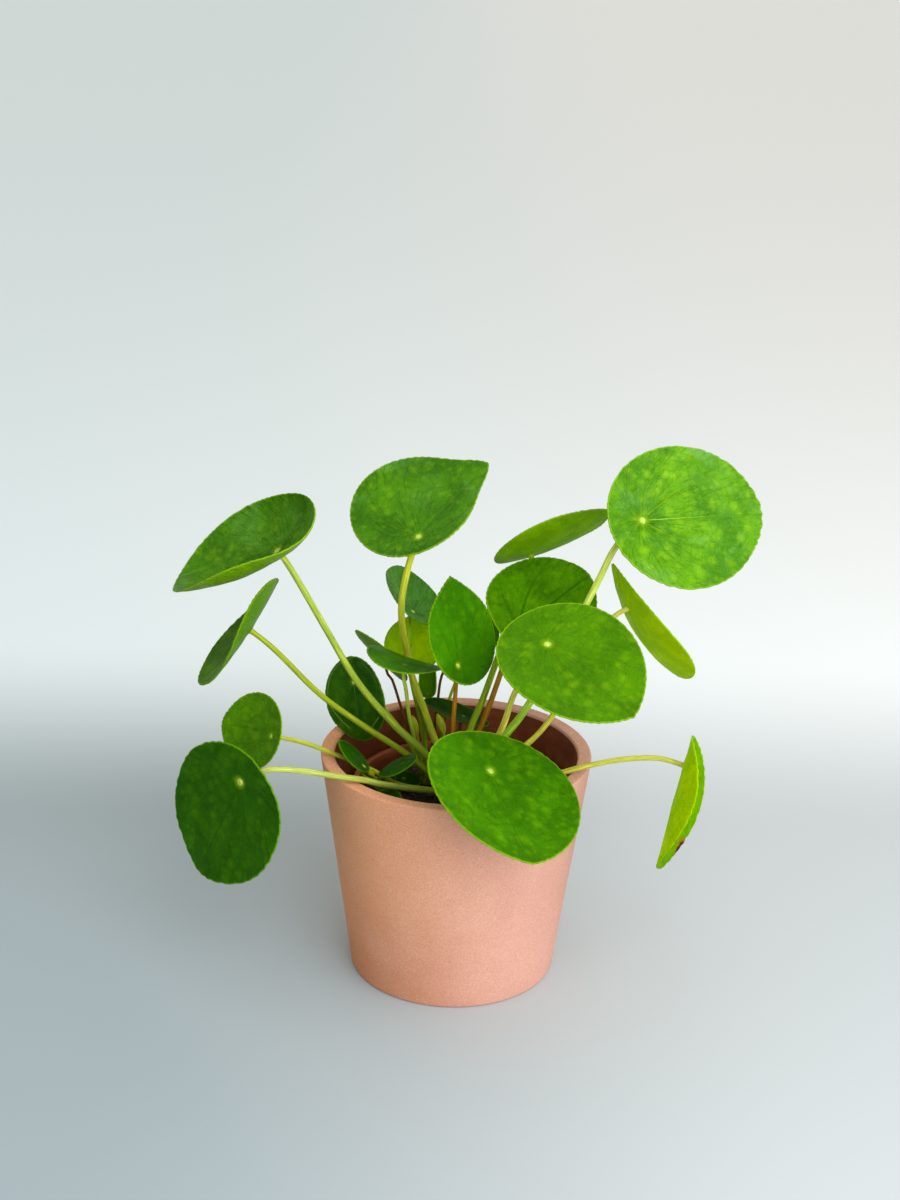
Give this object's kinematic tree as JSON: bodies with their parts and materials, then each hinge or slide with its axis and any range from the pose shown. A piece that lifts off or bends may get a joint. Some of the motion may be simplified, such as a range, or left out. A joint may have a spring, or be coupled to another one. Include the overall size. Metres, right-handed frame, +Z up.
{
  "type": "potted chinese money plant",
  "caption": "Leafy house plant with round, flat, glossy leaves on long thin stalks, rooted in a nursery pot of soil that stands in a tapered matte terracotta cover pot.",
  "frame": {"origin": "centre of the cover pot's flat underside", "axes": "+Z up along the pot's axis, -Y towards the side that the picture shows"},
  "size_m": [0.3154, 0.2218, 0.2984],
  "materials": {
    "cover_pot": "matte",
    "nursery_pot": "satin",
    "soil": "matte",
    "stem": "satin",
    "leaf_fresh": "satin",
    "leaf_dark": "satin",
    "leaf_lime": "satin"
  },
  "bodies": {
    "root": {"pot": "cover_pot", "nursery_pot": "nursery_pot", "soil": "soil", "main_stem": "stem", "side_shoot_1": "stem", "side_shoot_2": "stem", "leaf_01": "leaf_fresh", "leaf_02": "leaf_fresh", "leaf_03": "leaf_fresh", "leaf_04": "leaf_dark", "leaf_05": "leaf_dark", "leaf_06": "leaf_fresh", "leaf_07": "leaf_lime", "leaf_08": "leaf_fresh", "leaf_09": "leaf_lime", "leaf_10": "leaf_fresh", "leaf_11": "leaf_fresh", "leaf_12": "leaf_lime", "leaf_13": "leaf_fresh", "leaf_14": "leaf_fresh", "leaf_15": "leaf_lime", "leaf_16": "leaf_fresh", "leaf_17": "leaf_fresh", "leaf_18": "leaf_dark", "leaf_19": "leaf_dark", "leaf_20": "leaf_dark", "leaf_21": "leaf_dark", "leaf_22": "leaf_dark", "leaf_23": "leaf_dark", "leaf_24": "leaf_fresh", "leaf_25": "leaf_fresh", "leaf_26": "leaf_fresh"}
  },
  "joints": []
}
